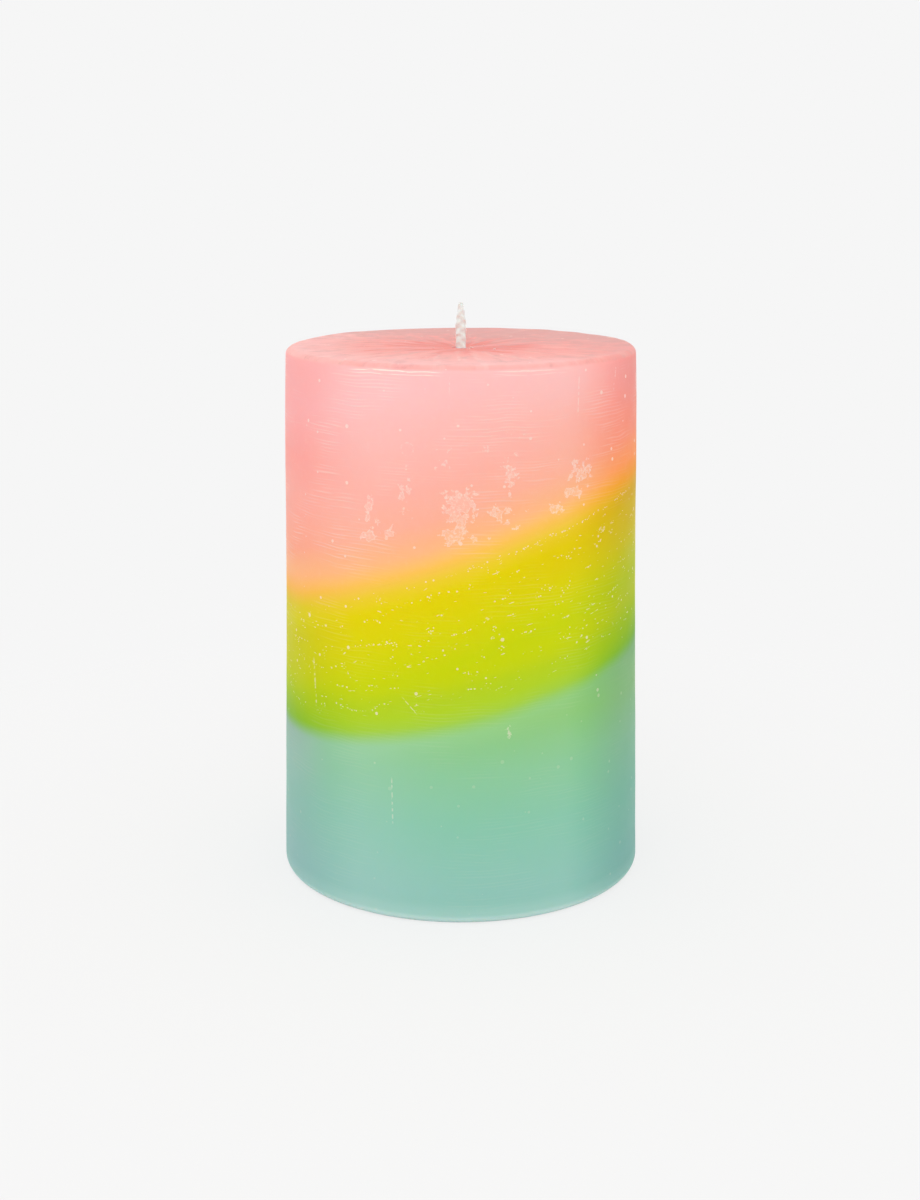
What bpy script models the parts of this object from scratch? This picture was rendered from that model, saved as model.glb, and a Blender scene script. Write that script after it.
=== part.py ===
"""Scented pillar candle, cast in a mould as three slanted pours of wax round a plaited wick.

Metres, +Z up, front towards -Y, +X to the right. The origin is the middle of the resting face.
The wick is a flat plait of three cotton strands, which a stamped sustainer grips at the base.
"""

import math

import bmesh
import bpy
from mathutils import Matrix, Vector

# Wax body
BASE_DIAMETER = 0.068
BODY_HEIGHT = 0.100
MOULD_DRAFT = math.radians(0.57)
BASE_EDGE_RADIUS = 0.0017
TOP_EDGE_RADIUS = 0.0013

# Pour faces: height on the axis, rise towards the right and rise towards the back. The upper one
# is level from front to back
LOWER_POUR_HEIGHT = 0.0392
LOWER_POUR_RISE_RIGHT = math.radians(13.2)
LOWER_POUR_RISE_BACK = math.radians(4.0)
UPPER_POUR_HEIGHT = 0.0655
UPPER_POUR_RISE_RIGHT = math.radians(19.4)

# Wick: how far it stands out of the wax, its strands, and the length of one round of the plait
WICK_PROUD = 0.0080
STRAND_DIAMETER = 0.00054
PLAIT_LAY = 0.0054
TIP_LENGTH = 0.0048
TIP_SHARE = 0.42

# Plait proportions, in strand diameters: half the sideways swing, and the space where two
# strands cross, which is over one diameter because they cross at a slant
PLAIT_SWING = 1.17
CROSSING_SPACE = 1.35

# Sustainer, stamped from one sheet: a disc, a neck drawn up from it and a crimp on the wick
DISC_DIAMETER = 0.020
SHEET = 0.0003
NECK_HEIGHT = 0.0060
NECK_BEND_RADIUS = 0.0005
NECK_CLEARANCE = 0.00035
CRIMP_CLEARANCE = 0.00010
CRIMP_START = 0.0020
CRIMP_RAMP = 0.0015
SUSTAINER_SET_BACK = 0.0005

# Gap between pieces that touch, and how far a cutter runs past what it cuts
SEAT_GAP = 0.0003
CUT_PAST = 0.001

# Facets: steps round the body, sustainer and bores, points along a rounded edge and along the
# sheet's edge, and stations along one lay
BODY_STEPS = 80
SUSTAINER_STEPS = 40
BORE_STEPS = 24
EDGE_POINTS = 5
SHEET_EDGE_STEPS = 2
STATIONS_PER_LAY = 12

# Colours, sRGB
BASE_WAX_COLOUR = "8FCAB0"
MIDDLE_WAX_COLOUR = "D3D41A"
TOP_WAX_COLOUR = "FDB7AC"
COTTON_COLOUR = "EADFD3"
TIN_PLATE_COLOUR = "C3C6C8"

# Sizes that follow from those above
PLAIT_HALF_WIDTH = STRAND_DIAMETER * (0.5 + PLAIT_SWING)
CROSSING_LIFT = CROSSING_SPACE * STRAND_DIAMETER / (2 * math.sin(math.radians(60)))
PLAIT_HALF_DEPTH = CROSSING_LIFT + STRAND_DIAMETER / 2
NECK_BORE_RADIUS = PLAIT_HALF_WIDTH + NECK_CLEARANCE
CRIMP_HALF_DEPTH = PLAIT_HALF_DEPTH + CRIMP_CLEARANCE
CRIMP_HALF_WIDTH = math.sqrt(2 * NECK_BORE_RADIUS**2 - CRIMP_HALF_DEPTH**2)
DISC_TOP = SUSTAINER_SET_BACK + SHEET
NECK_TOP = SUSTAINER_SET_BACK + NECK_HEIGHT


def linear(hex_colour):
    """The linear RGBA value of an sRGB hex colour."""
    channels = [int(hex_colour[i : i + 2], 16) / 255 for i in (0, 2, 4)]
    return (*(c / 12.92 if c <= 0.04045 else ((c + 0.055) / 1.055) ** 2.4 for c in channels), 1.0)


def clear_scene():
    for obj in list(bpy.data.objects):
        bpy.data.objects.remove(obj)


def new_collection(name):
    collection = bpy.data.collections.new(name)
    bpy.context.scene.collection.children.link(collection)
    return collection


def principled(name, hex_colour, roughness, metallic=0.0):
    material = bpy.data.materials.new(name)
    material.use_nodes = True
    shader = material.node_tree.nodes["Principled BSDF"]
    shader.inputs["Base Color"].default_value = linear(hex_colour)
    shader.inputs["Roughness"].default_value = roughness
    shader.inputs["Metallic"].default_value = metallic
    material.diffuse_color = linear(hex_colour)
    return material


def empty(name, collection, location=(0, 0, 0), parent=None):
    marker = bpy.data.objects.new(name, None)
    marker.empty_display_size = BASE_DIAMETER / 4
    marker.location = location
    marker.parent = parent
    collection.objects.link(marker)
    return marker


def add(name, data, collection, material=None, parent=None):
    obj = bpy.data.objects.new(name, data)
    collection.objects.link(obj)
    obj.parent = parent
    if material:
        data.materials.append(material)
    return obj


def arc(centre, radius, start, end, points=EDGE_POINTS):
    """Points (radius, height) on an arc, from one angle to another, in degrees from +X."""
    angles = [math.radians(start + (end - start) * i / points) for i in range(points + 1)]
    return [(centre[0] + radius * math.cos(a), centre[1] + radius * math.sin(a)) for a in angles]


def profile_mesh(name, points, closed=False):
    """A wire mesh in the XZ plane through (radius, height) points."""
    edges = [(i, i + 1) for i in range(len(points) - 1)]
    if closed:
        edges.append((len(points) - 1, 0))
    mesh = bpy.data.meshes.new(name)
    mesh.from_pydata([(x, 0, z) for x, z in points], edges, [])
    return mesh


def body_radius(height):
    """Radius of the drafted wall at a height."""
    return BASE_DIAMETER / 2 - height * math.tan(MOULD_DRAFT)


def body_profile():
    """Half outline of the cast body, from the middle of its top down to the middle of its base."""
    top_centre = (body_radius(BODY_HEIGHT) - TOP_EDGE_RADIUS, BODY_HEIGHT - TOP_EDGE_RADIUS)
    base_centre = (body_radius(0) - BASE_EDGE_RADIUS, BASE_EDGE_RADIUS)
    return [
        (0, BODY_HEIGHT),
        *arc(top_centre, TOP_EDGE_RADIUS, 90, 0),
        *arc(base_centre, BASE_EDGE_RADIUS, 0, -90),
        (0, 0),
    ]


def turn(obj, steps):
    screw = obj.modifiers.new("Turn", "SCREW")
    screw.steps = steps
    screw.render_steps = steps
    screw.use_merge_vertices = True
    screw.merge_threshold = 1e-6


def cut(obj, cutter):
    boolean = obj.modifiers.new("Cut " + cutter.name, "BOOLEAN")
    boolean.operation = "DIFFERENCE"
    boolean.solver = "EXACT"
    boolean.object = cutter


def even_shading(obj):
    """Keeps flat faces flat to the eye and rounded edges smooth."""
    obj.modifiers.new("Even shading", "WEIGHTED_NORMAL")


def as_cutter(obj):
    obj.hide_render = True
    obj.display_type = "WIRE"
    return obj


def pour_cutter(name, height, rise_right, rise_back, above, cutters):
    """A box that takes away the wax above or below a pour face, and half of the seat gap."""
    size = 2 * (BODY_HEIGHT + BASE_DIAMETER)
    normal = Vector((-math.tan(rise_right), -math.tan(rise_back), 1)).normalized()
    reach = (size - SEAT_GAP) / 2
    mesh = bpy.data.meshes.new(name)
    box = bmesh.new()
    bmesh.ops.create_cube(box, size=size)
    box.to_mesh(mesh)
    box.free()
    obj = add(name, mesh, cutters)
    obj.rotation_euler = normal.to_track_quat("Z", "Y").to_euler()
    obj.location = Vector((0, 0, height)) + normal * (reach if above else -reach)
    return as_cutter(obj)


def upright_cutter(name, half_width, half_depth, low, high, steps, cutters):
    """A round or oval bar on the axis, between two heights."""
    mesh = bpy.data.meshes.new(name)
    bar = bmesh.new()
    squash = Matrix.Diagonal((1, half_depth / half_width, 1, 1))
    bmesh.ops.create_cone(
        bar,
        cap_ends=True,
        segments=steps,
        radius1=half_width,
        radius2=half_width,
        depth=high - low,
        matrix=Matrix.Translation((0, 0, (low + high) / 2)) @ squash,
    )
    bar.to_mesh(mesh)
    bar.free()
    return as_cutter(add(name, mesh, cutters))


def wax_layers(parts, cutters, parent):
    """The three pours, each the turned body cut at its pour faces and bored for the wick."""
    lower = (LOWER_POUR_HEIGHT, LOWER_POUR_RISE_RIGHT, LOWER_POUR_RISE_BACK)
    upper = (UPPER_POUR_HEIGHT, UPPER_POUR_RISE_RIGHT, 0)
    above_lower = pour_cutter("above_lower_pour", *lower, True, cutters)
    below_lower = pour_cutter("below_lower_pour", *lower, False, cutters)
    above_upper = pour_cutter("above_upper_pour", *upper, True, cutters)
    below_upper = pour_cutter("below_upper_pour", *upper, False, cutters)
    wick_bore = upright_cutter(
        "wick_bore",
        PLAIT_HALF_WIDTH + SEAT_GAP,
        PLAIT_HALF_DEPTH + SEAT_GAP,
        -CUT_PAST,
        BODY_HEIGHT + CUT_PAST,
        BORE_STEPS,
        cutters,
    )
    neck_pocket = upright_cutter(
        "neck_pocket",
        CRIMP_HALF_WIDTH + SHEET + SEAT_GAP,
        CRIMP_HALF_WIDTH + SHEET + SEAT_GAP,
        -CUT_PAST,
        NECK_TOP + SEAT_GAP,
        SUSTAINER_STEPS,
        cutters,
    )
    disc_recess = upright_cutter(
        "disc_recess",
        DISC_DIAMETER / 2 + SEAT_GAP,
        DISC_DIAMETER / 2 + SEAT_GAP,
        -CUT_PAST,
        DISC_TOP + SEAT_GAP,
        BODY_STEPS,
        cutters,
    )
    layers = (
        ("base_wax_layer", BASE_WAX_COLOUR, (above_lower, wick_bore, neck_pocket, disc_recess)),
        ("middle_wax_layer", MIDDLE_WAX_COLOUR, (below_lower, above_upper, wick_bore)),
        ("top_wax_layer", TOP_WAX_COLOUR, (below_upper, wick_bore)),
    )
    for name, hex_colour, layer_cutters in layers:
        material = principled(name, hex_colour, roughness=0.45)
        layer = add(name, profile_mesh(name, body_profile()), parts, material, parent)
        turn(layer, BODY_STEPS)
        for cutter in layer_cutters:
            cut(layer, cutter)
        even_shading(layer)


def tip_share(height, top):
    """Size of the plait at a height, as a share: 1 along the wick, drawn in towards its tip."""
    way = min(max((height - (top - TIP_LENGTH)) / TIP_LENGTH, 0), 1)
    return 1 - (1 - TIP_SHARE) * way**2 * (3 - 2 * way)


def wick_strands(parts, parent):
    """Three strands of a flat plait, each a third of a lay behind the last.

    A strand swings from side to side once a lay and to and fro twice, so it goes over one
    neighbour and under the other. Heights are above the sustainer's underside.
    """
    top = BODY_HEIGHT + WICK_PROUD - SUSTAINER_SET_BACK
    stations = math.ceil(top / PLAIT_LAY * STATIONS_PER_LAY)
    swing = PLAIT_SWING * STRAND_DIAMETER
    material = principled("waxed_cotton", COTTON_COLOUR, roughness=0.8)
    for number, letter in enumerate("abc"):
        name = "wick_strand_" + letter
        curve = bpy.data.curves.new(name, "CURVE")
        curve.dimensions = "3D"
        curve.bevel_depth = STRAND_DIAMETER / 2
        curve.bevel_resolution = 1
        curve.use_fill_caps = True
        line = curve.splines.new("POLY")
        line.points.add(stations)
        for station, point in enumerate(line.points):
            height = min(station * PLAIT_LAY / STATIONS_PER_LAY, top)
            turn_angle = 2 * math.pi * (height / PLAIT_LAY + number / 3)
            share = tip_share(height, top)
            sideways = share * swing * math.sin(turn_angle)
            to_and_fro = share * CROSSING_LIFT * math.sin(2 * turn_angle)
            point.co = (sideways, to_and_fro, height, 1)
            point.radius = share
        add(name, curve, parts, material, parent)


def sustainer_profile():
    """Section of the uncrimped sustainer above its underside, down its outer side and up its bore."""
    neck_outside = NECK_BORE_RADIUS + SHEET
    bend = (neck_outside + NECK_BEND_RADIUS, SHEET + NECK_BEND_RADIUS)
    crimp_rows = [CRIMP_START + CRIMP_RAMP * i / EDGE_POINTS for i in range(EDGE_POINTS + 1)]
    edge_centre = (DISC_DIAMETER / 2 - SHEET / 2, SHEET / 2)
    return [
        (neck_outside, NECK_HEIGHT),
        *((neck_outside, row) for row in reversed(crimp_rows)),
        *arc(bend, NECK_BEND_RADIUS, 180, 270),
        *arc(edge_centre, SHEET / 2, 90, -90, SHEET_EDGE_STEPS),
        *arc(bend, NECK_BEND_RADIUS + SHEET, 270, 180),
        *((NECK_BORE_RADIUS, row) for row in crimp_rows),
        (NECK_BORE_RADIUS, NECK_HEIGHT),
    ]


def crimp(vert):
    """Squeezes the neck onto the wick: flatter front to back, wider sideways, wall kept even."""
    way = min(max((vert.co.z - CRIMP_START) / CRIMP_RAMP, 0), 1)
    ease = way**2 * (3 - 2 * way)
    radius = math.hypot(vert.co.x, vert.co.y)
    vert.co.x += ease * (CRIMP_HALF_WIDTH - NECK_BORE_RADIUS) * vert.co.x / radius
    vert.co.y -= ease * (NECK_BORE_RADIUS - CRIMP_HALF_DEPTH) * vert.co.y / radius


def wick_sustainer(parts, parent):
    mesh = profile_mesh("wick_sustainer", sustainer_profile(), closed=True)
    sheet = bmesh.new()
    sheet.from_mesh(mesh)
    bmesh.ops.spin(
        sheet,
        geom=sheet.verts[:] + sheet.edges[:],
        axis=(0, 0, 1),
        cent=(0, 0, 0),
        steps=SUSTAINER_STEPS,
        angle=2 * math.pi,
        use_merge=True,
    )
    bmesh.ops.recalc_face_normals(sheet, faces=sheet.faces)
    for vert in sheet.verts:
        crimp(vert)
    sheet.to_mesh(mesh)
    sheet.free()
    mesh.shade_smooth()
    mesh.set_sharp_from_angle(angle=math.radians(40))
    material = principled("tin_plate", TIN_PLATE_COLOUR, roughness=0.3, metallic=1.0)
    add("wick_sustainer", mesh, parts, material, parent)


def main():
    clear_scene()
    parts = new_collection("scented_candle")
    cutters = new_collection("cutters")
    candle = empty("candle", parts)
    wick = empty("wick", parts, location=(0, 0, SUSTAINER_SET_BACK), parent=candle)
    wax_layers(parts, cutters, candle)
    wick_strands(parts, wick)
    wick_sustainer(parts, wick)


main()
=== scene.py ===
"""Scented pillar candle: the finish of its wax, wick and sustainer, and the studio it stands in.

Metres, +Z up, front towards -Y. The wax is three slanted pours of dyed paraffin that blend where
they meet, and the wick is a plait of three cotton strands primed with wax.
"""

import math
import random

import bmesh
import bpy
from bpy.props import FloatProperty, FloatVectorProperty, IntProperty, PointerProperty
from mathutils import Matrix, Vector, noise


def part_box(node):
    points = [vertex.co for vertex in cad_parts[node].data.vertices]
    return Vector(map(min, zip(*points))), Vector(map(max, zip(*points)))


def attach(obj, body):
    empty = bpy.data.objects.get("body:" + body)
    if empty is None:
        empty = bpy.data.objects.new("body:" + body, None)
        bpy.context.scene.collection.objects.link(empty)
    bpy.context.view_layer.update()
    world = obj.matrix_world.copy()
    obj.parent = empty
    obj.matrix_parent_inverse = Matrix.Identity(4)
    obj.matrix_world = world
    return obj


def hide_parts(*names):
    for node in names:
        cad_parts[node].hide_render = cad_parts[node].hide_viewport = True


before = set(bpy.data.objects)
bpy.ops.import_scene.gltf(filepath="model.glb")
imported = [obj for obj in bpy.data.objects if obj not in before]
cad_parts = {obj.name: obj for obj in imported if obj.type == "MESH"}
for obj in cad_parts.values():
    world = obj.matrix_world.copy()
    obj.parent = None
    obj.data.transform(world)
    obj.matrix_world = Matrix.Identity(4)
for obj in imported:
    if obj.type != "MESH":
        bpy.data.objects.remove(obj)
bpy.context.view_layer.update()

bl_info = {
    "name": "Layered pillar candle",
    "version": (1, 0, 0),
    "blender": (4, 5, 0),
    "location": "View3D > Sidebar > Candle",
    "description": "Models a pillar candle of slanted wax layers with a plaited wick",
    "category": "Object",
}

MM = 0.001

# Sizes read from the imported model
BASE_LAYER_LOW, BASE_LAYER_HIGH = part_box("base_wax_layer")
MIDDLE_LAYER_LOW, MIDDLE_LAYER_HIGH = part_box("middle_wax_layer")
TOP_LAYER_LOW, TOP_LAYER_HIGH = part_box("top_wax_layer")
SUSTAINER_LOW, SUSTAINER_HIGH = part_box("wick_sustainer")
BASE_RADIUS = BASE_LAYER_HIGH[0]
BODY_HEIGHT = TOP_LAYER_HIGH[2]
DISC_RADIUS = SUSTAINER_HIGH[0]
DISC_UNDERSIDE = SUSTAINER_LOW[2]
NECK_TOP = SUSTAINER_HIGH[2]

# The solids keep this gap where pieces touch, and these spaces round the wick
SEAT_GAP = 0.3 * MM
BORE_CLEARANCE = 0.05 * MM
NECK_CLEARANCE = 0.35 * MM
CRIMP_CLEARANCE = 0.1 * MM
# The plait, in strand diameters: how far a strand swings aside, and the space where two cross
PLAIT_SWING = 1.17
CROSSING_SPACE = 1.35

# Marks seen on the front of the wall: across, height, half width and half height in millimetres,
# and how white each one is
FROST_MARKS = (
    (-0.3, 75.6, 2.4, 2.4, 1.0),
    (0.4, 73.4, 1.7, 1.5, 0.9),
    (-1.2, 70.4, 1.9, 1.3, 1.0),
    (2.6, 69.6, 2.0, 0.35, 0.8),
    (-16.3, 69.4, 1.4, 1.0, 0.9),
    (-15.2, 72.0, 1.2, 1.0, 0.6),
    (-12.8, 70.4, 1.2, 1.1, 0.8),
    (-9.7, 77.4, 1.2, 3.6, 0.6),
    (-16.6, 74.4, 0.7, 2.4, 0.6),
    (6.6, 73.9, 1.9, 1.6, 0.75),
    (8.8, 81.0, 1.3, 2.6, 0.75),
    (8.2, 78.6, 1.2, 0.8, 0.6),
    (21.8, 80.2, 2.3, 2.0, 0.7),
    (20.5, 76.8, 1.8, 1.0, 0.9),
    (16.9, 74.1, 1.5, 0.9, 0.85),
    (12.0, 73.6, 1.0, 0.8, 0.5),
    (4.9, 85.7, 0.7, 0.5, 0.9),
    (9.5, 88.2, 2.6, 0.7, 0.4),
    (-3.0, 83.8, 2.0, 1.8, 0.4),
    (9.9, 71.6, 1.3, 0.5, 0.6),
    (5.0, 55.6, 1.8, 0.8, 0.5),
    (26.0, 69.0, 1.2, 0.8, 0.5),
    (8.7, 34.5, 1.0, 2.0, 0.35),
)
# Fine upright scratches on the front: where across, lowest and highest point, and lean
SCRATCHES = (
    (-26.3, 35.5, 44.6, -0.05),
    (-7.9, 38.4, 40.8, -0.9),
    (-12.1, 18.0, 26.0, -0.02),
    (20.6, 90.0, 97.3, 0.03),
    (27.5, 94.0, 98.0, 0.1),
    (-2.0, 95.2, 98.0, 0.02),
)
# Crumbs of wax on the top face: across, depth and size
CRUMBS = (
    (2.0, -0.7, 0.7),
    (1.5, -1.6, 0.4),
    (-1.5, 0.4, 0.5),
    (-5.2, -2.4, 0.4),
    (4.4, 2.6, 0.35),
    (6.3, -4.9, 0.45),
)
# Ring left by a burst bubble: where across, height and radius
RING = (-9.3, 85.4, 1.1)


def linear(hex_colour):
    """The linear RGBA value of an sRGB hex colour."""
    channels = [int(hex_colour[i : i + 2], 16) / 255 for i in (0, 2, 4)]
    return (*(c / 12.92 if c <= 0.04045 else ((c + 0.055) / 1.055) ** 2.4 for c in channels), 1.0)


def smooth_step(low, high, value):
    way = min(max((value - low) / (high - low), 0), 1)
    return way * way * (3 - 2 * way)


def bell(middle, width, value):
    return math.exp(-(((value - middle) / width) ** 2))


# Settings


def length(name, description, default):
    return FloatProperty(name=name, description=description, default=default, min=0, unit="LENGTH")


def angle(name, description, degrees):
    return FloatProperty(
        name=name, description=description, default=math.radians(degrees), unit="ROTATION"
    )


def colour(name, description, hex_colour):
    return FloatVectorProperty(
        name=name,
        description=description,
        default=linear(hex_colour),
        size=4,
        min=0,
        max=1,
        subtype="COLOR",
    )


class CandleWaxSettings(bpy.types.PropertyGroup):
    mould_draft: angle("Mould draft", "Slope of the wall, which eases the candle out of its mould", 0.57)
    base_edge_radius: length("Base edge", "Radius of the rounded lower edge", 1.7 * MM)
    top_edge_radius: length("Top edge", "Radius of the rounded upper edge", 1.3 * MM)
    swell: length("Swell", "How far the wall swells a little below the top", 0.16 * MM)
    waist: length("Waist", "How far the wall draws in at mid height", 0.07 * MM)
    top_unevenness: length("Top unevenness", "Height of the slow waves of the top face", 0.14 * MM)
    hollow: length("Hollow", "How far the top face dips round the wick", 0.6 * MM)
    lower_heading: angle("Lower pour heading", "Where the lower pour face rises to, from +X", 16.6)
    upper_heading: angle("Upper pour heading", "Where the upper pour face rises to, from +X", 0.0)
    # Painted shade: these three deepen the dye towards the sides and the back in place of the shade at
    # the limbs, not for want of bloom.
    side_shade: FloatProperty(
        name="Deepening",
        description="How much stronger the dye looks where there is no bloom",
        default=0.34,
    )
    side_shade_right: FloatProperty(
        name="Deepening, right", description="More of the same on the right and the back", default=0.27
    )
    side_shade_left: FloatProperty(
        name="Deepening, left", description="More of the same on the left", default=0.3
    )
    steps: IntProperty(name="Steps", description="Facets round the body", default=320, min=32, max=512)
    coral_rim: colour("Coral at the rim", "Palest coral, in the last few millimetres", "FFC3C2")
    coral_pale: colour("Pale coral", "Upper part of the top pour", "FFBCB5")
    coral: colour("Coral", "Main colour of the top pour", "FFB5A8")
    coral_warm: colour("Warm coral", "Top pour above the blend", "FEB39C")
    apricot: colour("Apricot", "Top pour where it starts to blend", "FEB884")
    amber: colour("Amber", "Middle of the upper blend", "F6BF52")
    gold: colour("Gold", "Middle pour where the blend ends", "E8C92A")
    yellow: colour("Yellow", "Middle pour under the upper blend", "E1D002")
    citron: colour("Citron", "Middle of the middle pour", "D8D303")
    lime: colour("Lime", "Middle pour above the lower blend", "C8D306")
    lime_green: colour("Lime green", "Middle pour where the lower blend starts", "AFCE26")
    leaf: colour("Leaf green", "Middle pour at its lower face", "9BCA48")
    sea_green: colour("Sea green", "Base pour under the lower blend", "93CA80")
    green_teal: colour("Green teal", "Upper part of the base pour", "91CA9E")
    teal: colour("Teal", "Main colour of the base pour", "8EC8AF")
    blue_teal: colour("Blue teal", "Lower part of the base pour", "96C7BB")
    # Painted light: the paler, bluer band along the lower edge stands in for light from the floor and the
    # reflection on the rounded edge; it is not wear.
    foot: colour("Foot", "Worn lower edge, paler than the wall", "C8E0DC")
    deep_coral: colour("Deep coral", "Streaks of the top face, round the wick", "EA7369")
    top_coral: colour("Top face", "Coral of the top face", "F49A92")
    # Painted light: the bluish and lilac greys on the left and on the sides of the base pour stand in for
    # the pale reflection and cooler shade at the limbs, not for bloom.
    left_limb_tint: colour("Bluish bloom", "Bloom on the left of the base pour", "C4D2DA")
    side_limb_tint: colour("Lilac", "Bloom on the sides of the base pour", "CCC8DC")
    top_front: colour("Front of the top face", "Paler coral near the front and left edge", "F8B3AE")
    # Greyer coral painted towards the back and the right of the top face.
    grey_top_tint: colour("Bloom", "Greyish haze at the back of the top face", "D59893")
    # Painted shade: a darker coral on the upper right of the wall, where the side turns away from the
    # light.
    right_rim_shade: colour("Rosy edge", "Coral at the upper right", "E6ADA9")
    ochre: colour("Ochre", "Warm cast on the right of the middle pour", "DEB802")
    frost: colour("Frost", "Whitish flakes and specks", "FFE9E0")


class CandleWickSettings(bpy.types.PropertyGroup):
    proud: length("Proud of the wax", "How far the wick stands out of the wax", 8.0 * MM)
    strand_diameter: length("Strand", "Diameter of one strand", 0.54 * MM)
    lay: length("Lay", "Length of one round of the plait", 5.4 * MM)
    tip_length: length("Tip", "Length over which the wick draws in to its tip", 4.8 * MM)
    tip_share: FloatProperty(
        name="Tip share", description="Size of the plait at its tip", default=0.42, min=0.1, max=1
    )
    prime_thickness: length("Priming", "Thickness of the wax that the strands are primed with", 0.26 * MM)
    cotton: colour("Cotton", "Cotton soaked in wax", "E9E2D6")
    cotton_shade: colour("Cotton in the hollows", "Cotton between the yarns", "E2EAE4")
    priming: colour("Priming wax", "Wax over the strands", "E8F8F4")
    crumb: colour("Crumbs", "Pale wax left on and round the wick", "FFE3DE")


class CandleSustainerSettings(bpy.types.PropertyGroup):
    sheet: length("Sheet", "Thickness of the stamped sheet", 0.3 * MM)
    bend_radius: length("Bend", "Radius between disc and neck", 0.5 * MM)
    tin: colour("Tin", "Tin plating", "C9CBCC")
    tin_worn: colour("Worn tin", "Darker scuffs in the plating", "9DA0A2")


class CandleStageSettings(bpy.types.PropertyGroup):
    camera_distance: length("Camera distance", "From the candle's axis, along the floor", 347.9 * MM)
    camera_height: length("Camera height", "Above the floor", 138.8 * MM)
    camera_pitch: angle("Camera pitch", "How far the camera looks down", 6.84)
    focal_length: FloatProperty(
        name="Focal length",
        description="In millimetres on a 36 mm sensor, which spans the picture's height",
        default=55.44,
    )
    shift_up: FloatProperty(
        name="Shift", description="Lens shift, as a share of the picture's height", default=-0.20
    )
    background: colour("Background", "Backdrop and far floor", "F6F6F6")
    floor: colour("Floor", "Matt floor near the candle", "F4F4F4")
    floor_lift: FloatProperty(
        name="Floor lift", description="Share of plain background in the seen floor", default=0.8
    )
    sky_strength: FloatProperty(name="Sky", description="Even light from all round", default=0.98)
    key_strength: FloatProperty(
        name="Key", description="Softbox at the front left, in watts", default=1.57
    )


# Modelling helpers


def deselect_all():
    if bpy.context.object and bpy.context.object.mode != "OBJECT":
        bpy.ops.object.mode_set(mode="OBJECT")
    bpy.ops.object.select_all(action="DESELECT")


def activate(obj):
    deselect_all()
    obj.select_set(True)
    bpy.context.view_layer.objects.active = obj


def arc(centre, radius, start, end, points):
    """Points (radius, height) on an arc, from one angle to another, in degrees from +X."""
    angles = [math.radians(start + (end - start) * i / points) for i in range(points + 1)]
    return [(centre[0] + radius * math.cos(a), centre[1] + radius * math.sin(a)) for a in angles]


def between(start, end, points):
    """Points strictly between two (radius, height) points, evenly spaced."""
    ways = [i / (points + 1) for i in range(1, points + 1)]
    return [tuple(a + (b - a) * way for a, b in zip(start, end)) for way in ways]


def turned(name, section, steps):
    """Draws a closed section by extruding one vertex from point to point, and spins it round Z."""
    deselect_all()
    first = section[0]
    bpy.ops.mesh.primitive_plane_add(size=0.1 * MM, location=(first[0], 0, first[1]))
    obj = bpy.context.object
    obj.name = name
    obj.data.name = name
    bpy.ops.object.transform_apply(location=True, rotation=True, scale=True)
    bpy.ops.object.mode_set(mode="EDIT")
    bpy.ops.mesh.select_mode(type="VERT")
    bpy.ops.mesh.select_all(action="SELECT")
    bpy.ops.mesh.merge(type="CENTER")
    for here, there in zip(section, section[1:]):
        step = (there[0] - here[0], 0, there[1] - here[1])
        bpy.ops.mesh.extrude_region_move(TRANSFORM_OT_translate={"value": step})
    mesh = bmesh.from_edit_mesh(obj.data)
    for vert in mesh.verts:
        vert.select = len(vert.link_edges) == 1
    mesh.select_flush(True)
    bmesh.update_edit_mesh(obj.data)
    bpy.ops.mesh.edge_face_add()
    bpy.ops.mesh.select_all(action="SELECT")
    bpy.ops.mesh.spin(steps=steps, angle=2 * math.pi, center=(0, 0, 0), axis=(0, 0, 1))
    bpy.ops.mesh.select_all(action="SELECT")
    bpy.ops.mesh.remove_doubles(threshold=1e-6)
    bpy.ops.mesh.normals_make_consistent(inside=False)
    bpy.ops.object.mode_set(mode="OBJECT")
    return obj


def copy_of(obj, name):
    twin = obj.copy()
    twin.data = obj.data.copy()
    twin.name = name
    twin.data.name = name
    bpy.context.scene.collection.objects.link(twin)
    return twin


def bisect(obj, point, normal, clear_above):
    """Cuts a piece at a plane, keeps one side and closes the cut."""
    activate(obj)
    bpy.ops.object.mode_set(mode="EDIT")
    bpy.ops.mesh.select_all(action="SELECT")
    bpy.ops.mesh.bisect(
        plane_co=point,
        plane_no=normal,
        clear_outer=clear_above,
        clear_inner=not clear_above,
        threshold=1e-7,
    )
    bpy.ops.mesh.select_all(action="DESELECT")
    bpy.ops.mesh.select_mode(type="EDGE")
    bpy.ops.mesh.select_non_manifold()
    bpy.ops.mesh.fill()
    bpy.ops.object.mode_set(mode="OBJECT")


def finish_piece(obj, material, slot, *nodes):
    """Gives a piece its material and puts it on the body in place of its solids."""
    obj.data.materials.clear()
    obj.data.materials.append(material)
    activate(obj)
    bpy.ops.object.shade_smooth_by_angle(angle=math.radians(40))
    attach(obj, "root")
    if nodes:
        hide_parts(*nodes)


# Material helpers


def add_node(tree, kind, inputs=None, **settings):
    """Adds a shader node. An input that is a socket or a Value is linked, and any other is set."""
    made = tree.nodes.new(kind)
    for key, value in settings.items():
        setattr(made, key, value)
    for key, value in (inputs or {}).items():
        if isinstance(value, Value):
            value = value.socket
        if isinstance(value, bpy.types.NodeSocket):
            tree.links.new(value, made.inputs[key])
        else:
            made.inputs[key].default_value = value
    return made


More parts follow.
